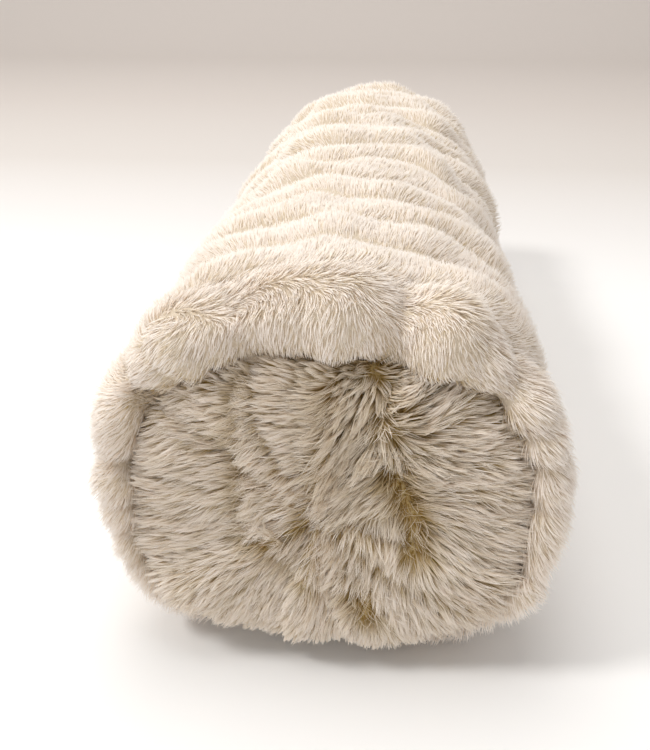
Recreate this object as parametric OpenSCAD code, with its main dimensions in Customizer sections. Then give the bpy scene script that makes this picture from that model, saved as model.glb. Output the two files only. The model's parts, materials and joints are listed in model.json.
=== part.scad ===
// Bolster pillow: a removable plush cover with circumferential ribs, closed by a hidden
// coil zip, over a ticking insert stuffed with fibre. It lies on the floor along the Y axis,
// with +Z up and its origin at the middle of the flat it rests on. Lengths are millimetres.

/* [Bolster] */
// Length from the front end panel to the rear end panel
bolster_len = 620; // [560:5:900]
// Width across the plush cover, which is the diameter of the round section
bolster_dia = 235; // [220:1:260]
// Height of the plush cover when it lies settled on the floor
settled_height = 215; // [200:1:219]

/* [Cover] */
// Thickness of the plush cloth with its pile pressed down
plush_thick = 12; // [11:0.5:14]
// Number of plump ribs round the tube
rib_count = 14; // [8:1:18]
// Height of a rib over the valleys beside it
rib_height = 5; // [3:0.5:5]
// Radius at which the tube panel curls over its ends
rim_round = 26; // [20:1:30]
// Bulge of each end panel
end_dome = 8; // [4:1:10]
// Distance from the crest of a rib in to the seam round an end panel
seam_inset = 23; // [22.5:0.5:28]
// Thickness of the sewing thread
thread_dia = 0.9; // [0.6:0.05:0.9]

/* [Zip] */
// Length of the zip between its stops
zip_len = 400; // [300:5:430]
// Angle of the zip above the horizontal, seen from the front end
zip_angle = 8; // [5:1:12]
// Width of the slot in the plush over the zip
slot_width = 14; // [12:0.5:18]
// Width of one half of the zip tape
tape_width = 13; // [11:0.5:15]
// Thickness of the zip tape
tape_thick = 0.6; // [0.4:0.05:0.7]
// Pitch of the coil's turns
coil_pitch = 2.5; // [2.2:0.1:4]
// Width of the coil on one half of the zip
coil_width = 2.6; // [2:0.1:3]
// Height of the coil over the tape
coil_height = 2; // [1.8:0.1:2]
// Gap between the two halves, in which the slider's post runs
halves_gap = 1.2; // [1.2:0.1:1.4]

/* [Slider] */
// Length of the slider along the zip
slider_len = 11.5; // [10:0.5:14]
// Width of the slider's plates
slider_width = 9.2; // [9:0.1:10]
// Length of the pull tab from its pin to its tip
tab_len = 28; // [20:1:34]
// Width of the pull tab
tab_width = 7; // [6:0.5:9]
// Radius of the pull tab's pin
pin_r = 0.8; // [0.7:0.05:0.9]
// Running clearance round the pin
pin_clear = 0.05; // [0.02:0.01:0.1]

/* [Insert] */
// Thickness of the ticking
ticking_thick = 1.2; // [0.8:0.1:1.5]
// Gap between one layer and the next
layer_gap = 0.3; // [0.2:0.05:0.4]

/* [Hidden] */

$fn = 96;
front = -1;                                   // the two ends, and the two halves of the zip
rear = 1;
upper = 1;
lower = -1;
big = 2000;                                   // larger than the object, for cutting

crest_r = bolster_dia / 2;                    // plush cover
valley_r = crest_r - rib_height;
inner_r = crest_r - plush_thick;
axis_z = settled_height - crest_r;
lip_back = end_dome / 2;                      // the lip lies this far behind the dome's top
end_thick = end_dome + 8;
seam_r = crest_r - seam_inset;
tube_len = bolster_len - 2 * lip_back;
cavity_len = bolster_len - 2 * end_thick;
cavity_round = rim_round - plush_thick;
rib_pitch = (tube_len - 2 * rim_round) / rib_count;
dome_r = (seam_r * seam_r + end_dome * end_dome) / (2 * end_dome);

slider_plate = 1.1;                           // levels over the axis, outwards through the zip
slide_gap = 0.4;
plate_low = inner_r + layer_gap;
tape_low = plate_low + slider_plate + slide_gap;
tape_top = tape_low + tape_thick;
coil_top = tape_top + coil_height;
plate_top = coil_top + slide_gap;
arch_base = plate_top + slider_plate + 0.1;
arch_r = 3.3;
pin_level = arch_base + 1.6;
pocket_top = tape_top + 0.6;
stitch_r = 0.3;

pocket_half = tape_width + halves_gap / 2 + 2;
pocket_len = tube_len - 2 * rim_round + 10;
slot_len = zip_len + 40;
tape_len = zip_len + 24;
stop_len = 5;
coil_len = zip_len - 2 * stop_len - 2;
slider_rest = -zip_len / 2 + stop_len + slider_len / 2 + 1;

insert_r = inner_r - layer_gap;               // insert
insert_len = cavity_len - 2 * layer_gap;
insert_floor = plush_thick + layer_gap;
fill_gap = 0.1;
fill_r = insert_r - ticking_thick;
fill_len = insert_len - 2 * ticking_thick;
ticking_seam_r = axis_z - insert_floor - 2;

module lay_down() {
    translate([0, 0, axis_z]) rotate([-90, 0, 0]) children();
}

// Everything at or over a height, which gives a settled piece its flat underside
module keep_above(level) {
    intersection() {
        children();
        translate([-big / 2, -big / 2, level]) cube(big);
    }
}

// Places a piece drawn at the zip: X round the tube, Y along it and Z outwards
module at_zip() {
    translate([0, 0, axis_z]) rotate([0, 90 - zip_angle, 0]) children();
}

// A block at the zip, centred across and along, between two levels
module zip_block(across, width, along, length, low, top) {
    translate([across - width / 2, along - length / 2, low]) cube([width, length, top - low]);
}

module half_outline(radius, length, corner) {
    translate([0, -length / 2]) square([radius - corner, length]);
    translate([0, -length / 2 + corner]) square([radius, length - 2 * corner]);
    for (end = [front, rear])
        translate([radius - corner, end * (length / 2 - corner)]) circle(r = corner);
}

module rib_outlines() {
    crest = rib_pitch * 0.2;
    foot = rib_pitch * 0.45;
    for (i = [0 : rib_count - 1])
        translate([0, (i - (rib_count - 1) / 2) * rib_pitch])
            polygon([[inner_r, -foot], [valley_r, -foot], [crest_r, -crest], [crest_r, crest],
                [valley_r, foot], [inner_r, foot]]);
}

module round_bar(radius, length, corner) {
    lay_down() rotate_extrude() half_outline(radius, length, corner);
}

module ribbed_bar() {
    lay_down() rotate_extrude() {
        half_outline(valley_r, tube_len, rim_round);
        rib_outlines();
    }
}

module end_hole(end, radius) {
    lay_down() translate([0, 0, end * bolster_len / 2]) cylinder(r = radius, h = 4 * end_thick, center = true);
}

module ring_thread(end, radius, along, dia) {
    lay_down() translate([0, 0, end * along]) rotate_extrude() translate([radius, 0]) circle(d = dia);
}

// A rounded rectangle, in plan
module pad(width, length, corner) {
    square([width - 2 * corner, length], center = true);
    square([width, length - 2 * corner], center = true);
    for (x = [-1, 1], y = [-1, 1])
        translate([x * (width / 2 - corner), y * (length / 2 - corner)]) circle(r = corner);
}

// Plush tube with its ribs, curled over at both ends and open along the zip
module cover_tube_panel() {
    color("ivory") difference() {
        keep_above(0) ribbed_bar();
        keep_above(plush_thick) round_bar(inner_r, cavity_len, cavity_round);
        for (end = [front, rear]) end_hole(end, seam_r + 1);
        at_zip() zip_block(0, slot_width, 0, slot_len, tape_low, crest_r + 5);
        at_zip() zip_block(0, 2 * pocket_half, 0, pocket_len, inner_r - 5, pocket_top);
    }
}

module cover_end(end) {
    lay_down() mirror([0, 0, end > 0 ? 0 : 1]) translate([0, 0, bolster_len / 2]) rotate_extrude()
        intersection() {
            translate([0, -end_thick]) square([seam_r, end_thick]);
            translate([0, -dome_r]) circle(r = dome_r, $fn = 360);
        }
}

module cover_front_end() {
    color("antiquewhite") cover_end(front);
}

module cover_rear_end() {
    color("antiquewhite") cover_end(rear);
}

module cover_front_seam_thread() {
    color("wheat") ring_thread(front, seam_r + 0.5, bolster_len / 2 - end_dome - 3, thread_dia);
}

module cover_rear_seam_thread() {
    color("wheat") ring_thread(rear, seam_r + 0.5, bolster_len / 2 - end_dome - 3, thread_dia);
}

// Two runs of thread, which close the tube's seam beyond the ends of the zip
module cover_side_seam_thread() {
    run = (pocket_len - slot_len) / 2 - 4;
    color("wheat") at_zip() for (end = [front, rear])
        translate([0, end * (slot_len + pocket_len) / 4, pocket_top - thread_dia / 2])
            rotate([90, 0, 0]) cylinder(d = thread_dia, h = run, center = true);
}

module zip_tape(half) {
    at_zip() zip_block(half * (halves_gap + tape_width) / 2, tape_width, 0, tape_len, tape_low, tape_top);
}

module zipper_tape_upper() {
    color("linen") zip_tape(-upper);
}

module zipper_tape_lower() {
    color("linen") zip_tape(-lower);
}

// Turns of the coil on their core, which is sewn to the edge of the tape
module zip_coil(half) {
    turn_r = coil_height / 2 - 0.05;
    turns = floor(coil_len / coil_pitch);
    across = half * (halves_gap + coil_width) / 2;
    at_zip() {
        zip_block(across, coil_width - 0.8, 0, coil_len, tape_top, tape_top + 0.5);
        for (i = [0 : turns - 1])
            translate([across, (i - (turns - 1) / 2) * coil_pitch, tape_top + turn_r + 0.1])
                rotate([0, 90, 0]) cylinder(r = turn_r, h = coil_width, center = true, $fn = 24);
    }
}

module zipper_coil_upper() {
    color("ivory") zip_coil(-upper);
}

module zipper_coil_lower() {
    color("ivory") zip_coil(-lower);
}

// The row of stitches that holds one tape to the plush
module zip_stitching(half) {
    at_zip() translate([half * (slot_width / 2 + 2), 0, tape_top + stitch_r])
        rotate([90, 0, 0]) cylinder(r = stitch_r, h = tape_len - 4, center = true, $fn = 24);
}

module zipper_stitching_upper() {
    color("wheat") zip_stitching(-upper);
}

module zipper_stitching_lower() {
    color("wheat") zip_stitching(-lower);
}

// A crimped stop on each half, at the end where the closed slider rests
module zipper_top_stops() {
    color("silver") at_zip() for (half = [upper, lower])
        zip_block(half * (halves_gap + coil_width) / 2, coil_width, (stop_len - zip_len) / 2, stop_len,
            tape_top, coil_top);
}

// One stop across both halves, at the far end of the zip
module zipper_bottom_stop() {
    color("silver") at_zip() zip_block(0, halves_gap + 2 * coil_width, (zip_len - stop_len) / 2, stop_len,
        tape_top, coil_top);
}

module slider_plate_at(level) {
    translate([0, slider_rest, level]) linear_extrude(slider_plate) pad(slider_width, slider_len, 2);
}

// Two plates on a post, with flanges beside the coil and an arch bored for the tab's pin
module zipper_slider() {
    flange = 0.8;
    post_len = 3;
    color("silver") at_zip() difference() {
        union() {
            slider_plate_at(plate_low);
            slider_plate_at(plate_top);
            for (side = [-1, 1])
                zip_block(side * (slider_width - flange) / 2, flange, slider_rest, slider_len - 4,
                    tape_top + slide_gap, plate_top + 0.2);
            zip_block(0, halves_gap / 2, slider_rest + 2.5, post_len, plate_low + 0.2, plate_top + 0.2);
            translate([0, slider_rest, arch_base - 0.2]) rotate([0, 90, 0])
                cylinder(r = arch_r, h = 1.6, center = true);
        }
        translate([0, slider_rest, pin_level]) rotate([0, 90, 0])
            cylinder(r = pin_r + pin_clear, h = 4, center = true);
        translate([0, slider_rest, tape_low - slide_gap]) linear_extrude(plate_top - tape_low + slide_gap)
            difference() {
                square([slider_width - 2 * flange, slider_len + 2], center = true);
                translate([0, 2.5]) square([halves_gap / 2, post_len], center = true);
            }
    }
}

// A flat tab, forked at one end round the slider's arch, with its pin across the fork
module zipper_pull_tab() {
    thick = 1.2;
    fork_gap = 2.2;
    fork_len = 3.5;
    tip_r = tab_width / 2;
    color("gainsboro") at_zip() translate([0, slider_rest, pin_level]) {
        rotate([0, 90, 0]) cylinder(r = pin_r, h = fork_gap + 2 * thick, center = true);
        for (side = [-1, 1])
            translate([side * (fork_gap + thick) / 2, 0, 0]) rotate([0, 90, 0])
                cylinder(r = pin_r + 0.4, h = thick, center = true);
        translate([0, 0, -thick / 2]) linear_extrude(thick) difference() {
            union() {
                translate([-fork_gap / 2 - thick, 0]) square([fork_gap + 2 * thick, fork_len + 2]);
                translate([-tab_width / 2, fork_len]) square([tab_width, tab_len - tip_r - fork_len]);
                translate([0, tab_len - tip_r]) circle(r = tip_r);
            }
            translate([-fork_gap / 2, -2]) square([fork_gap, fork_len + 2]);
            translate([0, tab_len - tip_r]) circle(r = tip_r / 2.5);
        }
    }
}

module insert_tube_ticking() {
    color("whitesmoke") difference() {
        keep_above(insert_floor) round_bar(insert_r, insert_len, cavity_round);
        keep_above(insert_floor + ticking_thick)
            round_bar(fill_r, fill_len, cavity_round - ticking_thick);
        for (end = [front, rear]) end_hole(end, ticking_seam_r + 1);
    }
}

module insert_end(end) {
    lay_down() translate([0, 0, end * (insert_len - ticking_thick) / 2])
        cylinder(r = ticking_seam_r, h = ticking_thick, center = true);
}

module insert_front_ticking() {
    color("snow") insert_end(front);
}

module insert_rear_ticking() {
    color("snow") insert_end(rear);
}

module insert_front_seam_thread() {
    color("white")
        ring_thread(front, ticking_seam_r + 0.5, (insert_len - ticking_thick) / 2, thread_dia);
}

module insert_rear_seam_thread() {
    color("white")
        ring_thread(rear, ticking_seam_r + 0.5, (insert_len - ticking_thick) / 2, thread_dia);
}

// Hand stitches over the opening through which the insert was stuffed
module insert_closing_stitches() {
    stitch_count = 16;
    stitch_pitch = 9;
    strand_r = 0.15;
    color("white") at_zip() for (i = [0 : stitch_count - 1])
        translate([0, (i - (stitch_count - 1) / 2) * stitch_pitch, insert_r + strand_r])
            rotate([0, 90, 25]) cylinder(r = strand_r, h = 4, center = true, $fn = 24);
}

module fibre_fill() {
    color("white") keep_above(insert_floor + ticking_thick + fill_gap)
        round_bar(fill_r - fill_gap, fill_len - 2 * fill_gap, cavity_round - ticking_thick - fill_gap);
}

// A blank label, sewn into the side seam beyond the bottom stop
module care_label() {
    color("white") at_zip()
        zip_block(0, 20, (slot_len + pocket_len) / 4, 30, plate_low + 0.2, plate_low + 0.5);
}

cover_tube_panel();
cover_front_end();
cover_rear_end();
cover_front_seam_thread();
cover_rear_seam_thread();
cover_side_seam_thread();
zipper_tape_upper();
zipper_tape_lower();
zipper_coil_upper();
zipper_coil_lower();
zipper_stitching_upper();
zipper_stitching_lower();
zipper_top_stops();
zipper_bottom_stop();
zipper_slider();
zipper_pull_tab();
insert_tube_ticking();
insert_front_ticking();
insert_rear_ticking();
insert_front_seam_thread();
insert_rear_seam_thread();
insert_closing_stitches();
fibre_fill();
care_label();
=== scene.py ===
"""Looks of the bolster pillow: a plush fur cover over a stuffed insert, with its zip, on a pale floor."""

import json
import math

import bpy
import numpy as np
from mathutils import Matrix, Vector


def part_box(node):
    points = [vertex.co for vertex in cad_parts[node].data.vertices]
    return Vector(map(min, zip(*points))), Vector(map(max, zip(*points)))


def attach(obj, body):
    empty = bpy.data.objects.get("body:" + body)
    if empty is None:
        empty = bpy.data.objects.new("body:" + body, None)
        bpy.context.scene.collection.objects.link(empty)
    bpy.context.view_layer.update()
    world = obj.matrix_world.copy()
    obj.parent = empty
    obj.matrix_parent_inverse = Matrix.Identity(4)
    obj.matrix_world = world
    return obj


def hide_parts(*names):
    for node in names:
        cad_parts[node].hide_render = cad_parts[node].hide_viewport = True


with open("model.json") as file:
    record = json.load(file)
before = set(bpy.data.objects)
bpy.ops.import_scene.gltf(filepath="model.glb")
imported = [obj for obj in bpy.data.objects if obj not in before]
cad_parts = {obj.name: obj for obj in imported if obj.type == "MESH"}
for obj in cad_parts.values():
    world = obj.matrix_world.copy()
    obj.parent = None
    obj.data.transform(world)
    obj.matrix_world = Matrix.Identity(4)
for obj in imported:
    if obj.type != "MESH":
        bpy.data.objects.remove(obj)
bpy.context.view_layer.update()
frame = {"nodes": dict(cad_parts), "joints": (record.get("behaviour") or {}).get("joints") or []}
MM = 0.001

# ---------- sizes, from the frame

tube_low, tube_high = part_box("cover_tube_panel")
end_low, end_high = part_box("cover_front_end")
CREST_R = (tube_high.x - tube_low.x) / 2
AXIS_Z = tube_high.z - CREST_R
HALF = -end_low.y
SEAM_R = (end_high.x - end_low.x) / 2
AXIS = np.array([0.0, 0.0, AXIS_Z])

tab_hinge = next(joint for joint in frame["joints"] if joint["name"] == "tab_swing")
ROUND = np.array(tab_hinge["axis"])  # round the tube, at the zip
OUT = np.array([-ROUND[2], 0.0, ROUND[0]])  # outwards, through the zip


def reach(node, direction):
    """How far a CAD node reaches from the bolster's axis, least and most, along a direction."""
    mesh = frame["nodes"][node].data
    points = np.empty(len(mesh.vertices) * 3)
    mesh.vertices.foreach_get("co", points)
    along = (points.reshape(-1, 3) - AXIS) @ np.asarray(direction, float)
    return along.min(), along.max()


TAPE_BACK, TAPE_FACE = reach("zipper_tape_upper", OUT)
COIL_TOP = reach("zipper_coil_upper", OUT)[1]
COIL_LOW, COIL_HIGH = reach("zipper_coil_upper", (0, 1, 0))
TAPE_LOW, TAPE_HIGH = reach("zipper_tape_upper", (0, 1, 0))
TAPE_WIDE = reach("zipper_tape_lower", ROUND)[1]
LABEL_HIGH = reach("care_label", (0, 1, 0))[1]
INSERT_R = reach("insert_tube_ticking", (1, 0, 0))[1]
INSERT_HALF = reach("insert_tube_ticking", (0, 1, 0))[1]
INSERT_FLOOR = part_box("insert_tube_ticking")[0].z
SLOT_HALF = 7 * MM
SLOT_END = TAPE_HIGH + 8 * MM
SLOT_FLOOR = INSERT_R + 0.3 * MM
ZIP_CLEAR = 5.4 * MM  # strands stay this far from the zip's middle

# ---------- small helpers


def unit(vectors):
    """Vectors scaled to a length of 1."""
    length = np.linalg.norm(vectors, axis=-1, keepdims=True)
    return vectors / np.maximum(length, 1e-9)


def ease(x, low, high):
    """0 below low, 1 above high, and smooth between; low may be the greater."""
    t = np.clip((x - low) / (high - low), 0, 1)
    return t * t * (3 - 2 * t)


def soft_max(a, b, blend):
    """The greater of two values, with the corner between them rounded over the blend."""
    return (a + b + np.sqrt((a - b) ** 2 + blend * blend)) / 2


def wander(turn, along, seed, size, terms=14):
    """A smooth wandering value, about -1 to 1, that joins up round the tube. size is its feature length."""
    rng = np.random.default_rng(seed)
    total = np.zeros(np.broadcast(turn, along).shape)
    for _ in range(terms):
        heading = rng.uniform(0, 2 * math.pi)
        pace = rng.uniform(0.6, 1.4) * 2 * math.pi / size
        turns = round(pace * math.cos(heading) * CREST_R)
        total += np.sin(turns * turn + pace * math.sin(heading) * along + rng.uniform(0, 2 * math.pi))
    return total / math.sqrt(terms / 2) / 1.6


def from_zip(points):
    """How far points lie from the bolster's axis, across the zip and outwards through it."""
    from_axis = points - AXIS
    return from_axis @ ROUND, from_axis @ OUT


def round_turn(count):
    """Angles evenly spaced round a turn."""
    return np.linspace(0, 2 * math.pi, count, endpoint=False)


def round_axis(radius, turn, along):
    """Points at a radius and a turn about the bolster's axis."""
    return np.stack([radius * np.cos(turn), along + 0 * turn, AXIS_Z + radius * np.sin(turn)], -1)


def curve_through(points, count):
    """Points evenly spaced along a smooth curve through the given ones (Catmull-Rom)."""
    points = np.asarray(points, float)
    ends = np.vstack([2 * points[0] - points[1], points, 2 * points[-1] - points[-2]])
    steps = np.linspace(0, 1, 24, endpoint=False)[:, None]
    fine = []
    for a, b, c, d in zip(ends, ends[1:], ends[2:], ends[3:]):
        fine.append(0.5 * (2 * b + (c - a) * steps + (2 * a - 5 * b + 4 * c - d) * steps**2
                           + (3 * b - a - 3 * c + d) * steps**3))
    fine = np.vstack(fine + [points[-1:]])
    run = np.concatenate([[0], np.cumsum(np.linalg.norm(np.diff(fine, axis=0), axis=1))])
    even = np.linspace(0, run[-1], count)
    return np.column_stack([np.interp(even, run, fine[:, k]) for k in range(fine.shape[1])])


def mesh_object(name, points, faces, material, uv=None, normals=None):
    """A smooth mesh object from arrays of points and of faces that all have the same number of corners."""
    points = np.asarray(points, np.float32).reshape(-1, 3)
    faces = np.asarray(faces, np.int32)
    sides = faces.shape[1]
    mesh = bpy.data.meshes.new(name)
    mesh.vertices.add(len(points))
    mesh.vertices.foreach_set("co", points.ravel())
    mesh.loops.add(faces.size)
    mesh.loops.foreach_set("vertex_index", faces.ravel())
    mesh.polygons.add(len(faces))
    mesh.polygons.foreach_set("loop_start", np.arange(0, faces.size, sides, dtype=np.int32))
    mesh.polygons.foreach_set("loop_total", np.full(len(faces), sides, np.int32))
    mesh.polygons.foreach_set("use_smooth", np.ones(len(faces), bool))
    mesh.update(calc_edges=True)
    if uv is not None:
        layer = mesh.uv_layers.new(name="OFBake")
        layer.data.foreach_set("uv", np.asarray(uv, np.float32)[faces.ravel()].ravel())
    if normals is not None:
        mesh.normals_split_custom_set_from_vertices(normals)
    piece = bpy.data.objects.new(name, mesh)
    bpy.context.collection.objects.link(piece)
    mesh.materials.append(material)
    return piece


def grid_faces(rows, columns, closed):
    """Quads over a grid of rows and columns; closed joins the last column to the first."""
    across = columns if closed else columns - 1
    i, j = np.meshgrid(np.arange(rows - 1), np.arange(across), indexing="ij")
    k = (j + 1) % columns
    corners = [i * columns + j, i * columns + k, (i + 1) * columns + k, (i + 1) * columns + j]
    return np.stack(corners, -1).reshape(-1, 4)


def tube_along(path, radius, sides=5):
    """Points and quads of a round tube along a path of points."""
    path = np.asarray(path, float)
    ahead = unit(np.gradient(path, axis=0))
    side = unit(np.cross(ahead, np.array([0.31, 0.22, 0.93])))
    up = np.cross(side, ahead)
    turn = round_turn(sides)
    ring = side[:, None] * np.cos(turn)[None, :, None] + up[:, None] * np.sin(turn)[None, :, None]
    radius = np.broadcast_to(radius, len(path))[:, None, None]
    points = (path[:, None] + ring * radius).reshape(-1, 3)
    return points, grid_faces(len(path), sides, True)


def joined(parts):
    """Several (points, faces) pairs as one."""
    points, faces, count = [], [], 0
    for some_points, some_faces in parts:
        points.append(some_points)
        faces.append(some_faces + count)
        count += len(some_points)
    return np.vstack(points), np.vstack(faces)


# ---------- materials


class Shade:
    """A short way to build a material's nodes."""

    def __init__(self, name, **sockets):
        self.material = bpy.data.materials.new(name)
        self.material.use_nodes = True
        self.tree = self.material.node_tree
        self.shader = self.tree.nodes["Principled BSDF"]
        for socket, value in sockets.items():
            self.shader.inputs[socket.replace("_", " ")].default_value = value

    def add(self, kind, **values):
        node = self.tree.nodes.new("ShaderNode" + kind)
        for name, value in values.items():
            if hasattr(node, name):
                setattr(node, name, value)
            else:
                self.feed(node.inputs[name.replace("_", " ")], value)
        return node

    def feed(self, socket, value):
        if isinstance(value, bpy.types.NodeSocket):
            self.tree.links.new(value, socket)
        else:
            socket.default_value = value

    def math(self, operation, a, b):
        node = self.add("Math", operation=operation)
        self.feed(node.inputs[0], a)
        self.feed(node.inputs[1], b)
        return node.outputs[0]

    def mix(self, factor, a, b):
        node = self.add("Mix", data_type="RGBA")
        for socket, value in zip((node.inputs[0], node.inputs[6], node.inputs[7]), (factor, a, b)):
            self.feed(socket, value)
        return node.outputs[2]

    def ramp(self, factor, stops):
        node = self.add("ValToRGB")
        ramp = node.color_ramp
        for _ in stops[2:]:
            ramp.elements.new(0.5)
        for element, (position, colour) in zip(ramp.elements, stops):
            element.position = position
            element.color = (*colour, 1)
        self.feed(node.inputs[0], factor)
        return node.outputs[0]

    def noise(self, scale, detail=4.0, vector=None, roughness=0.55):
        node = self.add("TexNoise", Scale=scale, Detail=detail, Roughness=roughness)
        self.feed(node.inputs["Vector"], vector or self.add("TexCoord").outputs["Object"])
        return node.outputs["Fac"]

    def bump(self, height, strength, distance):
        node = self.add("Bump", Strength=strength, Distance=distance, Height=height)
        self.feed(self.shader.inputs["Normal"], node.outputs[0])

    def colour(self, colour):
        self.feed(self.shader.inputs["Base Color"], colour)
        return self.material


# Colours of a strand's root and its tip, from deep golden tones at 0 to pale cream ones at 1
ROOT_COLOURS = [(0.0, (0.22, 0.12, 0.02)), (0.35, (0.36, 0.21, 0.035)),
                (0.65, (0.50, 0.345, 0.095)), (0.95, (0.85, 0.75, 0.635))]
TIP_COLOURS = [(0.0, (0.50, 0.37, 0.19)), (0.35, (0.80, 0.70, 0.56)),
               (0.65, (0.90, 0.82, 0.72)), (0.95, (0.94, 0.875, 0.815))]
WAVES_TO_METRE = 3.14  # of the wave texture at scale 1


def fur_material():
    """Fur strands. Their map holds a strand's tone across and the way from root to tip up."""
    shade = Shade("faux_fur", Roughness=0.72, Specular_IOR_Level=0.25, Sheen_Weight=0.25,
                  Sheen_Roughness=0.45, Sheen_Tint=(1.0, 0.95, 0.88, 1))
    place = shade.add("UVMap", uv_map="OFBake").outputs[0]
    parts = shade.add("SeparateXYZ", Vector=place)
    tone, way = parts.outputs[0], parts.outputs[1]
    root = shade.ramp(tone, ROOT_COLOURS)
    tip = shade.ramp(tone, TIP_COLOURS)
    stretched = shade.add("VectorMath", operation="MULTIPLY")
    shade.feed(stretched.inputs[0], place)
    shade.feed(stretched.inputs[1], (90.0, 2.5, 1.0))
    fleck = shade.noise(1.0, 2.0, stretched.outputs[0])
    way = shade.math("ADD", way, shade.math("MULTIPLY", shade.math("SUBTRACT", fleck, 0.5), 0.35))
    share = shade.add("MapRange", interpolation_type="SMOOTHSTEP", From_Min=0.12, From_Max=0.78, Value=way)
    return shade.colour(shade.mix(share.outputs[0], root, tip))


def backing_material(name, dark, middle, light):
    """The dense pile and knitted backing under the strands."""
    shade = Shade(name, Roughness=0.9, Specular_IOR_Level=0.1, Sheen_Weight=0.2, Sheen_Roughness=0.5)
    fine = shade.noise(900.0, 3.0)
    broad = shade.noise(60.0, 3.0)
    both = shade.math("ADD", shade.math("MULTIPLY", fine, 0.6), shade.math("MULTIPLY", broad, 0.4))
    shade.bump(fine, 0.8, 0.8 * MM)
    return shade.colour(shade.ramp(both, [(0.25, dark), (0.55, middle), (0.85, light)]))


def woven_material(name, light, dark, threads, roughness=0.8, sheen=0.2):
    """Plain weave: two sets of ribs that pass over each other, threads to a metre."""
    shade = Shade(name, Roughness=roughness, Specular_IOR_Level=0.25, Sheen_Weight=sheen)
    place = shade.add("TexCoord").outputs["Object"]
    heights = []
    for direction in ("X", "Y"):
        wave = shade.add("TexWave", wave_type="BANDS", bands_direction=direction,
                         Scale=threads / 2 / WAVES_TO_METRE, Distortion=0.6, Detail=1.0, Detail_Scale=2.0)
        shade.feed(wave.inputs["Vector"], place)
        heights.append(wave.outputs["Fac"])
    cross = shade.math("MULTIPLY", heights[0], heights[1])
    slub = shade.noise(130.0, 4.0)
    height = shade.math("ADD", shade.math("MULTIPLY", cross, 0.7), shade.math("MULTIPLY", slub, 0.5))
    shade.bump(height, 0.6, 0.25 * MM)
    return shade.colour(shade.mix(height, (*dark, 1), (*light, 1)))


def mottled_material(name, light, dark, scale, detail, roughness=0.55, bump=None, **sockets):
    """A fine mottle of two colours, with a bump of the given strength and depth that follows it."""
    shade = Shade(name, **sockets)
    mottle = shade.noise(scale, detail, None, roughness)
    if bump:
        shade.bump(mottle, *bump)
    return shade.colour(shade.mix(mottle, (*dark, 1), (*light, 1)))


def thread_material(name, light, dark):
    return mottled_material(name, light, dark, 1400.0, 2.0, bump=(0.5, 0.1 * MM),
                            Roughness=0.55, Specular_IOR_Level=0.35, Sheen_Weight=0.3)


def metal_material():
    """Tumbled nickel plate: fine brushing, with duller, yellower patches."""
    shade = Shade("nickel_plate", Metallic=1.0, Roughness=0.32, Specular_IOR_Level=0.5)
    stretched = shade.add("Mapping", vector_type="POINT", Scale=(1.0, 0.06, 1.0))
    shade.feed(stretched.inputs["Vector"], shade.add("TexCoord").outputs["Object"])
    brushed = shade.noise(9000.0, 3.0, stretched.outputs[0])
    stain = shade.noise(420.0, 3.0)
    rough = shade.add("MapRange", To_Min=0.24, To_Max=0.46, Value=stain)
    shade.feed(shade.shader.inputs["Roughness"], rough.outputs[0])
    shade.bump(brushed, 0.15, 0.05 * MM)
    return shade.colour(shade.mix(stain, (0.50, 0.475, 0.43, 1), (0.76, 0.75, 0.72, 1)))


FUR = fur_material()
END_BACKING = backing_material("plush_backing_end",
                               (0.36, 0.23, 0.06), (0.52, 0.38, 0.17), (0.66, 0.54, 0.34))
TUBE_BACKING = backing_material("plush_backing_tube",
                                (0.58, 0.475, 0.335), (0.70, 0.60, 0.475), (0.79, 0.70, 0.59))
TICKING = woven_material("cotton_ticking", (0.90, 0.89, 0.86), (0.70, 0.69, 0.65), 2200)
TAPE = woven_material("zip_tape_weave", (0.83, 0.77, 0.66), (0.60, 0.53, 0.42), 3600, 0.7)
SATIN = woven_material("label_satin", (0.93, 0.93, 0.92), (0.78, 0.78, 0.77), 5200, 0.4, 0.4)
COVER_THREAD = thread_material("cover_thread", (0.74, 0.62, 0.44), (0.48, 0.36, 0.20))
INSERT_THREAD = thread_material("insert_thread", (0.92, 0.91, 0.88), (0.72, 0.71, 0.68))
COIL = mottled_material("nylon_coil", (0.82, 0.76, 0.65), (0.70, 0.63, 0.50), 500.0, 2.0,
                        Roughness=0.38, Specular_IOR_Level=0.5, Subsurface_Weight=0.05,
                        Subsurface_Radius=(0.004, 0.003, 0.002))
METAL = metal_material()
FIBRE = mottled_material("polyester_fibre", (0.95, 0.95, 0.94), (0.80, 0.80, 0.79), 420.0, 6.0, 0.75,
                         (1.0, 1.5 * MM), Roughness=0.85, Specular_IOR_Level=0.2, Sheen_Weight=0.4)


def add_piece(name, node, points, faces, material, **maps):
    """A piece that rides on the bolster, and stands for a CAD node if one is given."""
    piece = mesh_object(name, points, faces, material, **maps)
    if node:
        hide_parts(node)
    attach(piece, "bolster")
    return piece


def add_grid(name, node, grid, material, flip, closed=True):
    """A piece made from a grid of points. flip turns its faces over."""
    faces = grid_faces(*grid.shape[:2], closed)
    return add_piece(name, node, grid, faces[:, ::-1] if flip else faces, material)


# ---------- camera, lights and floor


def add_camera():
    """Close in front of the front end and over it, looking down along the tube."""
    camera = bpy.data.objects.new("camera", bpy.data.cameras.new("camera"))
    bpy.context.collection.objects.link(camera)
    camera.data.sensor_width = 36
    camera.data.lens = 38.4
    camera.data.clip_start = 0.01
    camera.location = (0.031, -0.615, 0.335)
    yaw, pitch = math.radians(5.5), math.radians(27.8)
    ahead = Vector((-math.sin(yaw) * math.cos(pitch), math.cos(yaw) * math.cos(pitch), -math.sin(pitch)))
    camera.rotation_euler = ahead.to_track_quat("-Z", "Y").to_euler()
    bpy.context.scene.camera = camera


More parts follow.
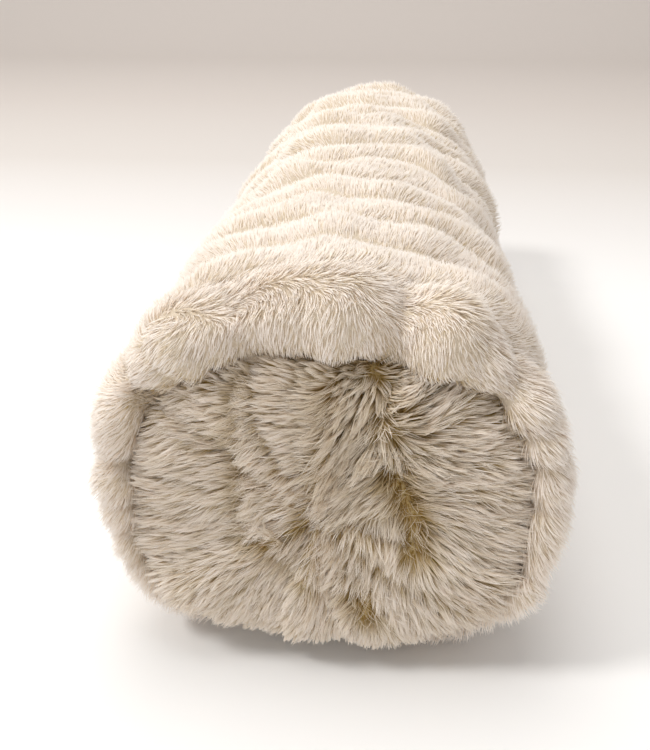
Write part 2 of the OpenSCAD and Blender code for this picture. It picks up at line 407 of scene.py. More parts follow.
def add_light(name, place, target, size, power, colour):
    lamp = bpy.data.lights.new(name, "AREA")
    lamp.shape = "DISK"
    lamp.size = size
    lamp.energy = power
    lamp.color = colour
    light = bpy.data.objects.new(name, lamp)
    bpy.context.collection.objects.link(light)
    light.location = place
    light.rotation_euler = (Vector(target) - Vector(place)).to_track_quat("-Z", "Y").to_euler()


def add_stage():
    """A white floor that darkens with distance and curves up into a warm grey wall."""
    reach_out, bend, radius, top = 6.0, 2.4, 1.0, 4.0
    profile = [(-reach_out, 0.0), (bend, 0.0)]
    for angle in np.linspace(0.1, 1.5, 14):
        profile.append((bend + radius * math.sin(angle), radius - radius * math.cos(angle)))
    profile.append((bend + radius, top))
    points = [(x, y, z) for y, z in profile for x in (-reach_out, reach_out)]
    shade = Shade("studio_sweep", Roughness=0.9, Specular_IOR_Level=0.1)
    place = shade.add("SeparateXYZ", Vector=shade.add("TexCoord").outputs["Object"])
    distance = shade.add("MapRange", From_Min=0.0, From_Max=2.0, Value=place.outputs[1])
    depth = shade.ramp(distance.outputs[0], [
        (0.12, (0.90, 0.895, 0.89)), (0.24, (0.82, 0.80, 0.785)),
        (0.42, (0.73, 0.69, 0.655)), (0.75, (0.72, 0.665, 0.625))])
    floor = mesh_object("floor", points, grid_faces(len(profile), 2, False), shade.colour(depth))


def add_world(colour, strength):
    world = bpy.data.worlds.new("studio")
    bpy.context.scene.world = world
    world.use_nodes = True
    background = world.node_tree.nodes["Background"]
    background.inputs[0].default_value = (*colour, 1)
    background.inputs[1].default_value = strength


add_camera()
add_stage()
add_light("overhead", (-0.3, 0.1, 3.0), (0.0, -0.1, 0.1), 2.0, 39, (1.0, 0.985, 0.97))
add_light("key", (-2.2, -0.9, 2.9), (0.0, 0.0, 0.1), 0.8, 55, (1.0, 0.985, 0.965))
add_world((1.0, 0.985, 0.965), 0.57)
bpy.context.scene.view_settings.view_transform = "Standard"
bpy.context.scene.cycles.max_bounces = 16
bpy.context.scene.cycles.diffuse_bounces = 12

# ---------- the cover's form

COLUMNS = 384
ROW_STEP = 2.0 * MM
PILE_RISE = 5.5 * MM  # the strands stand this far over the form
BASE_R = CREST_R - PILE_RISE
RIB_PITCH = 45 * MM
RIB_HEIGHT = 8.0 * MM
RIB_MIDDLE = 0.79  # share of a rib's height that lies within the form
TUBE_SQUARENESS, END_SQUARENESS = 2.22, 2.5  # 2 would be round
END_WIDE, END_TOP, END_BOTTOM = SEAM_R + 1.5 * MM, SEAM_R - 18 * MM, SEAM_R - 6 * MM
END_ASIDE = 3.5 * MM  # the end panels sit this far to the right
HOLLOW_X, HOLLOW_HALF = -21 * MM, 57 * MM  # the stretch of the front edge that is off the floor


def half_profile():
    """Radius, and distance in from the end: out over an end panel, over the lip and onto the tube."""
    seam, tube = (SEAM_R - 2 * MM) / MM, BASE_R / MM
    return np.array([
        (0.0, 5.0), (seam * 0.35, 5.0), (seam * 0.7, 5.5), (seam * 0.88, 8.0), (seam * 0.97, 12.0),
        (seam, 17.0), (seam + 2, 11.5), (seam + 7, 7.0), (seam + 13, 7.5),
        (tube - 3, 14.0), (tube, 27.0), (tube, 60.0)]) * MM


def meridian():
    """Rows of (radius, y) from the front middle to the rear middle, with the rows at which the seams lie."""
    half = half_profile()
    reach_of_half = np.linalg.norm(np.diff(half, axis=0), axis=1).sum() * 1.06
    rows = curve_through(half, int(reach_of_half / ROW_STEP))
    seam = int(np.argmax(np.where(rows[:, 0] < half[5, 0] + 1e-4, rows[:, 1], -1)))
    start, stop = -HALF + rows[-1, 1], HALF - rows[-1, 1]
    straight = np.linspace(start, stop, int((stop - start) / ROW_STEP))[1:-1]
    front = np.column_stack([rows[:, 0], -HALF + rows[:, 1]])
    middle = np.column_stack([np.full(len(straight), BASE_R), straight])
    rear = np.column_stack([rows[::-1, 0], HALF - rows[::-1, 1]])
    return np.vstack([front, middle, rear]), seam, len(front) + len(middle) + len(rear) - 1 - seam


MERIDIAN, FRONT_SEAM, REAR_SEAM = meridian()
ROWS = np.arange(len(MERIDIAN))[:, None]
ALONG = MERIDIAN[:, 1][:, None]
INWARD = np.minimum(ALONG + HALF, HALF - ALONG)  # distance in from the nearer end
OUTSIDE = (ROWS > FRONT_SEAM) & (ROWS < REAR_SEAM)  # on the tube, not on an end panel
TURN = np.broadcast_to(round_turn(COLUMNS), (len(MERIDIAN), COLUMNS))


def surface_normals(points):
    """Outward normals of a closed grid of points."""
    down = np.gradient(points, axis=0)
    across = np.roll(points, -1, axis=1) - np.roll(points, 1, axis=1)
    normals = np.cross(down, across)
    normals[0] = (0, -1, 0)
    normals[-1] = (0, 1, 0)
    return unit(normals)


def squarish(turn, wide, high, squareness):
    """Radius of a rounded square of the given half sizes."""
    across, up = np.abs(np.cos(turn) / wide), np.abs(np.sin(turn) / high)
    return (across**squareness + up**squareness) ** (-1 / squareness)


def end_outline(turn):
    """Radius of an end panel's seam: wide at the sides, and flattened where the lip hangs over its top."""
    up = np.where(np.sin(turn) > 0, END_TOP, END_BOTTOM)
    wide = END_WIDE + END_ASIDE * np.sign(np.cos(turn))
    return squarish(turn, wide, up, END_SQUARENESS)


def reshaped(radius, turn, seam_radius):
    """Radii with the seam moved from its circle to the end's outline, and the tube left where it is."""
    outline = end_outline(turn)
    outline = np.minimum(outline, BASE_R - 7 * MM)
    inside = radius * outline / seam_radius
    outside = BASE_R + (radius - BASE_R) * (BASE_R - outline) / (BASE_R - seam_radius)
    return np.where(radius < seam_radius, inside, outside)


def rib_swell(turn, along):
    """Height of the ribs over the form, from 0 in a valley to about 1 on a crest; they lean to the front."""
    drift = 8 * MM * wander(turn, along, 3, 260 * MM) + 4.5 * MM * wander(turn, along, 4, 95 * MM)
    phase = (HALF - 36 * MM - along - drift) / RIB_PITCH
    place = phase - np.floor(phase)
    crest = np.abs(np.sin(math.pi * place**1.45)) ** 0.8
    height = 0.85 + 0.35 * wander(turn, along, 5, 120 * MM)
    return crest * height


# Humps and pinches of the front lip: where and how wide (degrees round from the right), and how high (mm)
LIP_HUMPS = [(87, 11, 3.5), (71.5, 4.5, -5.5), (59, 8, 3.0), (108, 9, -3.5), (126, 8, 2.5),
             (42, 4, -3.5), (146, 4, -3.5), (168, 4, -3.0), (194, 5, -3.0), (15, 5, -2.5)]


def lip_swell(turn):
    """Height of the front lip's humps and pinches."""
    degrees = np.degrees(turn)
    return sum(high * MM * np.exp(-((degrees - where) / wide) ** 2) for where, wide, high in LIP_HUMPS)


def swell():
    """How far the cover stands out from its plain shape: ribs, gathers, and the lip's flare and humps."""
    on_tube = ease(INWARD, 14 * MM, 40 * MM) * OUTSIDE
    push = on_tube * RIB_HEIGHT * (rib_swell(TURN, ALONG) - RIB_MIDDLE)
    # gathers run across each seam and die out away from it
    from_seam = np.minimum(np.abs(ROWS - FRONT_SEAM), np.abs(ROWS - REAR_SEAM)) * ROW_STEP
    gather = np.abs(np.sin(13 * TURN + 2.2 * wander(TURN, 0 * ALONG, 7, 150 * MM)))
    side_on = 0.45 + 0.55 * np.abs(np.cos(TURN))
    near_seam = ease(from_seam, 42 * MM, 6 * MM) * ease(from_seam, 0, 8 * MM)
    push = push + side_on * (gather - 0.6) * 4.2 * MM * near_seam
    push = push + 2.2 * MM * wander(TURN, ALONG, 8, 60 * MM) * ease(from_seam, 0, 12 * MM)
    # the front flares at its sides, and its lip has humps
    flare = (4.2 + 1.0 * np.cos(TURN)) * MM * np.abs(np.cos(TURN)) ** 1.5
    flare = flare * ease(ALONG, -HALF + 130 * MM, -HALF + 25 * MM)
    push = push + flare * OUTSIDE * ease(from_seam, 0, 14 * MM)
    on_lip = ease(ALONG, -HALF + 46 * MM, -HALF + 26 * MM) * ease(from_seam, 2 * MM, 12 * MM)
    return push + lip_swell(TURN) * OUTSIDE * on_lip


def cover_form():
    """The grid of points on which the fur's roots stand."""
    radius = reshaped(MERIDIAN[:, 0][:, None], TURN, MERIDIAN[FRONT_SEAM, 0])
    radius = radius * np.where(radius > SEAM_R, squarish(TURN, 1, 1, TUBE_SQUARENESS), 1)
    # under the front end the tube is tucked back, and the end panel bulges over it like a chin
    tuck = ease(np.sin(TURN), -0.3, -0.8) * ease(ALONG, -HALF + 50 * MM, -HALF + 16 * MM)
    tuck = 12 * MM * tuck * (ROWS > FRONT_SEAM)
    chin = 5 * MM * ease(np.sin(TURN) * radius / SEAM_R, 0.1, -0.7) * (radius < END_WIDE) * (ALONG < 0)
    points = round_axis(radius, TURN, ALONG + tuck - chin)
    points = points + surface_normals(points) * swell()[..., None]
    return settle(over_tape(over_insert(points - AXIS)) + AXIS)


def over_insert(from_axis):
    """Keeps the form no closer to the axis than the insert that fills the cover."""
    distance = np.hypot(from_axis[..., 0], from_axis[..., 2])
    clear = soft_max(distance, INSERT_R + 0.9 * MM, 1.5 * MM)
    clear = distance + (clear - distance) * ease(INWARD, 16 * MM, 26 * MM) * OUTSIDE
    pushed = from_axis.copy()
    pushed[..., [0, 2]] *= (clear / np.maximum(distance, MM))[..., None]
    return pushed


def over_tape(from_axis):
    """Keeps the form outside the zip's tape and the label, which lie just inside the cover."""
    across, out = np.abs(from_axis @ ROUND), from_axis @ OUT
    beside = ease(across, TAPE_WIDE + 5 * MM, TAPE_WIDE + 1 * MM)
    beside = beside * ease(np.abs(from_axis[..., 1]), LABEL_HIGH + 7 * MM, LABEL_HIGH + 1 * MM) * (out > 0)
    lifted = soft_max(out, TAPE_FACE + 0.7 * MM, 0.8 * MM)
    return from_axis + OUT * ((lifted - out) * beside)[..., None]


def hollow_under(points):
    """How much the front end's edge is held off the floor, 0 to 1."""
    near_front = ease(points[..., 1], -HALF + 70 * MM, -HALF + 12 * MM)
    return near_front * np.exp(-((points[..., 0] - HOLLOW_X) / HOLLOW_HALF) ** 4)


def settle(points):
    """Flattens the underside, and lifts the front end's edge a little off the floor."""
    floor = 3.0 * MM + 15 * MM * hollow_under(points)
    settled = points.copy()
    settled[..., 2] = soft_max(points[..., 2], floor, 4 * MM)
    return settled


FORM = cover_form()
FORM_NORMALS = surface_normals(FORM)


def on_form(row, column, grid):
    """A grid's value at fractional rows and columns."""
    i = np.clip(np.floor(row).astype(int), 0, len(MERIDIAN) - 2)
    j = np.floor(column).astype(int)
    u, v = (row - i)[:, None], (column - j)[:, None]
    j, k = j % COLUMNS, (j + 1) % COLUMNS
    here = grid[i, j] * (1 - u) + grid[i + 1, j] * u
    beside = grid[i, k] * (1 - u) + grid[i + 1, k] * u
    return here * (1 - v) + beside * v


def stand_on_form(row, column):
    """Points on the form and its normals there."""
    return on_form(row, column, FORM), unit(on_form(row, column, FORM_NORMALS))


def cut_slot(points):
    """Sinks the tube's form into a groove where the zip lies."""
    across, out = from_zip(points)
    inside = ease(np.abs(across), SLOT_HALF + 1.2 * MM, SLOT_HALF - 0.6 * MM)
    inside = inside * ease(np.abs(points[..., 1]), SLOT_END + 1 * MM, SLOT_END - 1 * MM) * (out > 0)
    return points + OUT * ((SLOT_FLOOR - out) * inside)[..., None]


def add_skin(name, rows, node, material):
    """The backing of one panel, from a range of the form's rows."""
    piece = add_grid(name, node, cut_slot(FORM)[rows][:, ::2], material, True)


add_skin("cover_tube_backing", slice(FRONT_SEAM, REAR_SEAM + 1), "cover_tube_panel", TUBE_BACKING)
add_skin("cover_front_end_backing", slice(1, FRONT_SEAM + 1), "cover_front_end", END_BACKING)
add_skin("cover_rear_end_backing", slice(REAR_SEAM, len(MERIDIAN) - 1), "cover_rear_end", END_BACKING)

# ---------- the fur

FRONT_PILE, REAR_PILE, LIP_PILE, TUBE_PILE = 19 * MM, 15 * MM, 11.5 * MM, 8.8 * MM  # lengths of strands
FRONT_TUFT, REAR_TUFT, TUBE_TUFT = 2.0 * MM, 3.0 * MM, 2.6 * MM
MOTTLE = 0.07  # how much the tone varies from tuft to tuft
# Strokes in which the front end was combed: place across and up the panel, in panel radii, direction across
# and up, and how far the pile stands up
FRONT_STROKES = np.array([
    (-0.80, 0.72, -1, -0.12, 0), (-0.80, 0.30, -1, 0, 0), (-0.80, -0.20, -1, -0.2, 0),
    (-0.70, -0.64, -0.8, -0.6, 0), (-0.15, -0.56, -0.7, -0.8, 0), (-0.24, 0.85, -1, 0.1, 0.1),
    (0.12, 0.80, -0.1, -0.1, 0.9), (0.13, 0.48, -0.1, -0.15, 1), (-0.16, 0.48, -1, -0.1, 0),
    (-0.16, 0.18, -0.9, -0.35, 0), (0.03, -0.14, -0.6, -0.75, 0.1), (0.31, -0.14, -0.15, -1, 0.2),
    (0.24, 0.30, -0.5, -0.35, 0.7),
    (0.71, 0.55, 1, 0.2, 0), (0.71, 0.10, 1, -0.05, 0), (0.71, -0.32, 1, -0.2, 0),
    (0.50, 0.26, 1, 0.1, 0), (0.52, -0.09, 0.9, -0.45, 0), (0.32, -0.64, 0.45, -0.9, 0),
    (0.19, -0.81, 0, -1, 0), (0.71, -0.69, 0.75, -0.65, 0), (0.47, 0.83, 0.85, 0.5, 0.1),
    (-0.39, -0.07, -0.95, -0.2, 0), (-0.47, -0.74, -0.6, -0.8, 0)])
# Partings, where the pile falls away to both sides: runs of points in panel radii
PARTINGS = [
    [(-0.38, 0.85), (-0.39, 0.40), (-0.38, 0.0)],
    [(0.29, 0.42), (0.40, 0.12), (0.44, -0.12)],
    [(0.14, -0.40), (0.19, -0.50), (0.20, -0.64)],
    [(-0.38, -0.12), (-0.22, -0.19), (-0.08, -0.34)]]


def from_partings(u, v):
    """Distance from the nearest parting, and the direction away from it."""
    nearest = np.full(u.shape, 9.0)
    away = np.zeros((*u.shape, 2))
    for run in PARTINGS:
        line = curve_through(run, 24)
        gap = np.stack([u[:, None] - line[:, 0], v[:, None] - line[:, 1]], -1)
        distance = np.linalg.norm(gap, axis=-1)
        best = distance.argmin(1)
        here = distance[np.arange(len(u)), best]
        closer = here < nearest
        nearest = np.where(closer, here, nearest)
        away[closer] = gap[np.arange(len(u)), best][closer] / np.maximum(here[closer], 1e-6)[:, None]
    return nearest, away


def combed_end(roots):
    """Places on the front end in panel radii, and the flow and lift that its combing strokes give there."""
    u = (roots[:, 0] - END_ASIDE) / END_WIDE
    v = (roots[:, 2] - AXIS_Z - (END_TOP - END_BOTTOM) / 2) / ((END_TOP + END_BOTTOM) / 2)
    gap = (u[:, None] - FRONT_STROKES[:, 0]) ** 2 + (v[:, None] - FRONT_STROKES[:, 1]) ** 2
    weight = 1 / (gap + 0.004) ** 1.7
    weight /= weight.sum(1, keepdims=True)
    across, up, lift = (weight @ FRONT_STROKES[:, k] for k in (2, 3, 4))
    return u, v, across, up, lift


class Fur:
    """Strands of fur as tapered ribbons, grown from roots on the form in tufts."""

    def __init__(self, seed, roots, normals, cells, flow, length, width, lift, tone, steps, frizz, stray):
        self.rng = np.random.default_rng(seed)
        self.steps = steps
        self.normals = normals
        self.width = width
        _, self.cells = np.unique(cells, return_inverse=True)
        self.tufts = self.cells.max() + 1
        self.tone = np.clip(tone + MOTTLE * self.rng.normal(size=self.tufts)[self.cells], 0.02, 0.98)
        flow = unit(flow - normals * np.sum(flow * normals, -1, keepdims=True))
        side = np.cross(flow, normals)
        count = len(roots)
        bend = self.rng.normal(0, stray, self.tufts)[self.cells] + self.rng.normal(0, frizz, count)
        curl = self.rng.normal(0, stray, self.tufts)[self.cells]
        sway = self.rng.normal(0, frizz, count) + self.rng.normal(0, 2 * stray, self.tufts)[self.cells]
        lift = lift * (1 + sway)
        points = [roots - normals * MM]
        for k in range(steps):
            way = (k + 0.5) / steps
            rise = np.radians(lift * (1 - way) ** 0.8 + 8.0)
            heading = unit(flow + side * (bend + curl * (2 * way - 1))[:, None])
            step = heading * np.cos(rise)[:, None] + normals * np.sin(rise)[:, None]
            points.append(points[-1] + step * (length / steps)[:, None])
        self.points = np.stack(points, 1)

    def gather(self, pull):
        """Draws the strands of each tuft together towards their tips."""
        share = np.bincount(self.cells)[:, None, None]
        total = np.zeros((self.tufts, *self.points.shape[1:]))
        np.add.at(total, self.cells, self.points)
        middle = (total / share)[self.cells]
        way = (np.arange(self.steps + 1) / self.steps)[None, :, None]
        self.points += (middle - self.points) * pull * way**1.2
        return self

    def keep_clear(self):
        """Holds strands off the floor and clear of the zip."""
        floor = 0.9 * MM + 13 * MM * hollow_under(self.points)
        self.points[..., 2] = np.maximum(self.points[..., 2], floor)
        across, out = from_zip(self.points)
        inside = (out > 0) & (np.abs(across) < ZIP_CLEAR)
        inside &= np.abs(self.points[..., 1]) < TAPE_HIGH
        shift = np.where(inside, np.where(across < 0, -ZIP_CLEAR, ZIP_CLEAR) - across, 0)
        self.points += shift[..., None] * ROUND
        return self

    def grow(self, name, softness):
        """Makes the mesh piece. softness is how far the pile shades as one surface instead of as strands."""
        count, stations = self.points.shape[:2]
        ahead = np.gradient(self.points, axis=1)
        side = unit(np.cross(ahead, self.normals[:, None]))
        twist = self.rng.uniform(-0.6, 0.6, count)[:, None, None]
        face = unit(np.cross(side, ahead))
        side = side * np.cos(twist) + face * np.sin(twist)
        face = unit(np.cross(side, ahead))
        way = np.arange(stations) / (stations - 1)
        half = (self.width[:, None] / 2 * (1 - 0.85 * way[None] ** 1.6))[..., None]
        left, right = self.points - side * half, self.points + side * half
        pairs = np.stack([left[:, :-1], right[:, :-1]], 2).reshape(count, -1, 3)
        points = np.concatenate([pairs, self.points[:, -1:]], 1)
        per = points.shape[1]
        shading = unit(self.normals[:, None] * softness + face * (1 - softness))
        shading = np.concatenate([np.repeat(shading[:, :-1], 2, axis=1), shading[:, -1:]], 1)
        faces = []
        for k in range(stations - 2):
            a = 2 * k
            faces += [(a, a + 1, a + 3), (a, a + 3, a + 2)]
        faces.append((per - 3, per - 2, per - 1))
        faces = (np.arange(count)[:, None, None] * per + np.array(faces)[None]).reshape(-1, 3)
        tone = np.repeat(np.clip(self.tone, 0.01, 0.99), per)
        height = np.tile(np.concatenate([np.repeat(way[:-1], 2), [1.0]]), count)
        uv = np.column_stack([tone, 0.02 + 0.96 * height])
        add_piece(name, None, points, faces, FUR, uv=uv, normals=shading.reshape(-1, 3))


def scatter(seed, row_low, row_high, spacing):
    """Root places, in rows and columns of the form, about evenly spaced over its area."""
    rng = np.random.default_rng(seed)
    rows, columns = [], []
    for row in np.arange(row_low, row_high, spacing / ROW_STEP):
        radius = max(np.interp(row, np.arange(len(MERIDIAN)), MERIDIAN[:, 0]), 0.3 * MM)
        count = max(int(2 * math.pi * radius / spacing), 1)
        rows.append(row + rng.uniform(-0.5, 0.5, count) * spacing / ROW_STEP)
        place = np.arange(count) + rng.uniform(0, 1, count) + rng.uniform()
        columns.append(place * COLUMNS / count % COLUMNS)
    return np.clip(np.concatenate(rows), 0, len(MERIDIAN) - 1.001), np.concatenate(columns)


def tuft_cells(row, column, size, seed):
    """Which tuft each strand belongs to, on a wandering grid."""
    radius = np.interp(row, np.arange(len(MERIDIAN)), MERIDIAN[:, 0])
    along = row * ROW_STEP
    turn = column * 2 * math.pi / COLUMNS
    a = along + 0.7 * size * wander(turn, along, seed, size * 5)
    b = turn * CREST_R + 0.7 * size * wander(turn, along, seed + 1, size * 5)
    ring = np.maximum(np.round(2 * math.pi * radius / size), 1)
    return numbered(a / size, b / (2 * math.pi * CREST_R) * ring)


def numbered(a, b):
    """One number for each square of a grid."""
    return np.floor(a).astype(np.int64) * 100000 + np.floor(b).astype(np.int64)


def tube_roots(seed, row_low, row_high, spacing):
    """Root places on the tube, with none in the zip's slot and fewer underneath."""
    row, column = scatter(seed, row_low, row_high, spacing)
    roots = on_form(row, column, FORM)
    across, out = from_zip(roots)
    in_slot = (out > 0) & (np.abs(across) < SLOT_HALF + 0.5 * MM)
    in_slot &= np.abs(roots[:, 1]) < SLOT_END + 6 * MM
    underneath = (roots[:, 2] < 6 * MM) & (np.abs(roots[:, 0]) < 45 * MM)
    thinned = underneath & (np.random.default_rng(seed).random(len(roots)) < 0.6)
    keep = ~in_slot & ~thinned
    return row[keep], column[keep]


def tube_flow(turn, along, radial, at_front, across, by_zip):
    """The way the pile lies on the tube: away from the front and a little downhill, and towards the zip
    beside it. Over the lip it swings round to hang down."""
    ring = np.stack([-radial[:, 2], 0 * turn, radial[:, 0]], -1)
    swirl = 0.30 * wander(turn, along, 11, 120 * MM) + 0.18 * wander(turn, along, 12, 35 * MM)
    swing = math.pi * at_front
    way_round = -1.3 + 0.35 * wander(turn, along, 14, 60 * MM)
    down = np.array([0, -0.2, -0.8]) + radial * (1.1 * np.abs(radial[:, 0]))[:, None]
    flow = np.array([0, 1.0, 0]) * np.cos(swing / 2)[:, None] + down * np.sin(swing / 2)[:, None]
    flow = flow + ring * (swirl * (1 - by_zip) + way_round * np.sin(swing))[:, None]
    flow = flow + np.array([0, 0, -0.22]) * (1 - by_zip)[:, None]
    flow = flow - np.sign(across)[:, None] * ROUND * (0.9 * by_zip)[:, None]
    at_rear = ease(along, HALF - 30 * MM, HALF - 12 * MM)
    return flow + at_rear[:, None] * radial * 1.5


def tube_fur(name, seed, row_low, row_high, spacing, width, length, steps, softness):
    """Fur on a stretch of the tube."""
    row, column = tube_roots(seed, row_low, row_high, spacing)
    roots, normals = stand_on_form(row, column)
    turn, along = column * 2 * math.pi / COLUMNS, roots[:, 1]
    radial = unit(roots * (1, 0, 1) - AXIS)
    across, out = from_zip(roots)
    by_zip = (out > 0) * ease(np.abs(across), 22 * MM, 8 * MM) * (np.abs(along) < SLOT_END + 10 * MM)
    ragged = along + 5 * MM * wander(turn, along, 17, 32 * MM)
    at_front = ease(ragged, -HALF + 56 * MM, -HALF + 4 * MM)
    curl = np.sin(math.pi * at_front) * (radial[:, 2] > 0.2)
    under = ease(roots[:, 2], 14 * MM, 4 * MM)
    from_seam = np.minimum(np.abs(row - FRONT_SEAM), np.abs(row - REAR_SEAM)) * ROW_STEP
    seam_near = ease(from_seam, 16 * MM, 3 * MM)
    rng = np.random.default_rng(seed + 500)
    count = len(roots)
    lengths = length * rng.uniform(0.75, 1.15, count) * (1 - 0.4 * by_zip) * (1 - 0.5 * under)
    lengths = lengths * (1 - 0.3 * at_front * (radial[:, 2] > 0.6)) * (1 - 0.35 * seam_near)
    lift = 24 + 8 * rng.normal(size=count) - 12 * by_zip - 20 * under + 14 * curl
    tone = 0.93 + 0.05 * wander(turn, along, 15, 70 * MM) + 0.03 * rng.normal(size=count)
    # painted shade: strands near the seams get a darker, more golden tone, most along the top, for the
    # shaded crevice there
    tone = tone - 0.6 * seam_near * (0.45 + 0.55 * (radial[:, 2] > 0.5))
    widths = width * rng.uniform(0.75, 1.2, count)
    flow = tube_flow(turn, along, radial, at_front, across, by_zip)
    cells = tuft_cells(row, column, TUBE_TUFT, seed + 40)
    fur = Fur(seed, roots, normals, cells, flow, lengths, widths, lift, tone, steps, 0.12, 0.12)
    fur.gather(0.3).keep_clear().grow(name, softness)


def front_end_fur(name, seed, row_low, row_high, spacing):
    """Fur on the front end panel, long and combed in strokes."""
    row, column = scatter(seed, row_low, row_high, spacing)
    roots, normals = stand_on_form(row, column)
    u, v, across, up, lift = combed_end(roots)
    near, away = from_partings(u, v)
    open_up = ease(near, 0.12, 0.01)
    across, up = across + away[:, 0] * open_up * 0.9, up + away[:, 1] * open_up * 0.9
    wave = 0.35 * wander(column * 6 * math.pi / COLUMNS, u * 0.1, 21, 60 * MM)
    wave = wave + 0.25 * np.sin(60 * u + 34 * v) * np.sin(47 * v - 22 * u)
    flow = np.stack([across - wave * up, 0 * up, up + wave * across], -1)
    rng = np.random.default_rng(seed + 500)
    count = len(roots)
    top_edge = ease(np.hypot(u, v), 0.82, 1.0) * ease(v, -0.3, 0.2)
    low_edge = ease(v, -0.5, -0.92)
    lengths = FRONT_PILE * rng.uniform(0.7, 1.15, count) * (1 - 0.35 * top_edge) * (1 - 0.45 * low_edge)
    rise = 26 + 46 * lift + 6 * rng.normal(size=count)
    tone = 0.675 + 0.08 * np.sin(31 * u + 5 * v) * np.sin(17 * v) + 0.05 * rng.normal(size=count)
    tone = tone - 0.40 * ease(near, 0.07, 0.0) - 0.34 * lift
    # painted shade: strands next to the seam get a darker tone, for the shaded crevice under the lip
    tone = tone - 0.35 * ease(np.abs(row - FRONT_SEAM) * ROW_STEP, 10 * MM, 2 * MM)
    widths = 0.38 * MM * rng.uniform(0.7, 1.25, count)
    cells = numbered((u + 0.02 * np.sin(40 * v)) * SEAM_R / FRONT_TUFT,
                     (v + 0.02 * np.sin(37 * u)) * SEAM_R / FRONT_TUFT)
    fur = Fur(seed, roots, normals, cells, flow, lengths, widths, rise, tone, 4, 0.05, 0.10)
    fur.gather(0.88).keep_clear().grow(name, 0.3)


def rear_end_fur(name, seed, row_low, row_high, spacing):
    """Fur on the rear end panel, brushed downwards from a swirl near its top."""
    row, column = scatter(seed, row_low, row_high, spacing)
    roots, normals = stand_on_form(row, column)
    u, v = roots[:, 0] / SEAM_R, (roots[:, 2] - AXIS_Z) / SEAM_R
    away = np.stack([u - 0.1, v - 0.35], -1)
    away = away / np.maximum(np.linalg.norm(away, axis=1), 0.05)[:, None]
    flow = np.stack([away[:, 0] + 0.3 * away[:, 1], 0 * u, away[:, 1] - 0.55], -1)
    rng = np.random.default_rng(seed + 500)
    count = len(roots)
    lengths = REAR_PILE * rng.uniform(0.7, 1.15, count)
    tone = 0.68 + 0.09 * np.sin(23 * u + 7 * v) + 0.06 * rng.normal(size=count)
    widths = 0.8 * MM * rng.uniform(0.7, 1.25, count)
    rise = 30 + 6 * rng.normal(size=count)
    cells = numbered(u * SEAM_R / REAR_TUFT, v * SEAM_R / REAR_TUFT)
    fur = Fur(seed, roots, normals, cells, flow, lengths, widths, rise, tone, 2, 0.1, 0.16)
    fur.gather(0.7).keep_clear().grow(name, 0.5)


def row_at(along):
    """The tube's row at a distance along the bolster."""
    rows = np.arange(FRONT_SEAM, REAR_SEAM)
    inside = MERIDIAN[FRONT_SEAM:REAR_SEAM, 0] > BASE_R - 4 * MM
    return float(np.interp(along, MERIDIAN[FRONT_SEAM:REAR_SEAM, 1][inside], rows[inside]))


end_edges = [1, FRONT_SEAM * 0.55, FRONT_SEAM * 0.8, FRONT_SEAM]
for band, (low, high) in enumerate(zip(end_edges, end_edges[1:])):
    front_end_fur(f"fur_front_end_{band + 1}", 101 + 20 * band, low, high, 0.72 * MM)
rear_end_fur("fur_rear_end", 103, REAR_SEAM, len(MERIDIAN) - 2, 1.5 * MM)
lip_row = row_at(-HALF + 32 * MM)
tube_fur("fur_front_lip", 104, FRONT_SEAM, lip_row, 0.92 * MM, 0.5 * MM, LIP_PILE, 3, 0.6)
# bands of the tube, whose strands are closest together where the camera is nearest
inner_edges = [row_at(along) for along in (-HALF + 110 * MM, -HALF + 220 * MM, 0.0, 150 * MM)]
edges = [lip_row, *inner_edges, REAR_SEAM]
gaps = np.array([0.98, 1.12, 1.35, 1.6, 1.7]) * MM
for band, (low, high, gap) in enumerate(zip(edges, edges[1:], gaps)):
    tube_fur(f"fur_tube_{band + 1}", 110 + band, low, high, gap, gap * 0.52, TUBE_PILE, 2, 0.85)

# ---------- the zip


def at_zip(across, along, out):
    """Points at the zip: round the tube, along it, and outwards from the bolster's axis."""
    across, along, out = np.broadcast_arrays(across, along, out)
    return AXIS + across[..., None] * ROUND + along[..., None] * np.array([0, 1.0, 0]) + out[..., None] * OUT


def zip_tape(name, side):
    """Half of the woven tape: thin, a little wavy, with a corded edge next to the coil."""
    low, high = sorted(np.abs(reach(name, ROUND)))
    across = np.linspace(low, high, 14)
    along = np.linspace(TAPE_LOW, TAPE_HIGH, 220)
    a, b = np.meshgrid(across, along, indexing="ij")
    ripple = 0.12 * MM * np.sin(b * 190 + 4 * a * 100) * ease(a, low + 3 * MM, high)
    cord = 0.18 * MM * np.exp(-((a - low - 0.6 * MM) / (0.5 * MM)) ** 2)
    face = at_zip(side * a, b, TAPE_FACE - 0.15 * MM + ripple + cord)
    back = at_zip(side * a, b, TAPE_BACK + 0.15 * MM + ripple - cord)
    loop = np.concatenate([face, back[::-1]], 0).transpose(1, 0, 2)
    add_grid(name + "_cloth", name, loop, TAPE, side < 0)


def zip_coil(name, side):
    """One nylon filament wound along the edge of the tape, whose turns reach between the other half's."""
    pitch, sides = 1.55 * MM, 12
    turns = int((COIL_HIGH - COIL_LOW) / pitch)
    angle = np.linspace(0, 2 * math.pi * turns, turns * sides)
    middle = (TAPE_FACE + COIL_TOP) / 2
    across = side * (1.35 * MM + 1.75 * MM * np.cos(angle))
    along = COIL_LOW + pitch * (angle / (2 * math.pi)) + (pitch / 2 if side > 0 else 0)
    out = middle + 0.68 * MM * np.sin(angle)
    points, faces = tube_along(at_zip(across, np.clip(along, COIL_LOW, COIL_HIGH), out), 0.26 * MM)
    add_piece(name + "_filament", name, points, faces, COIL)


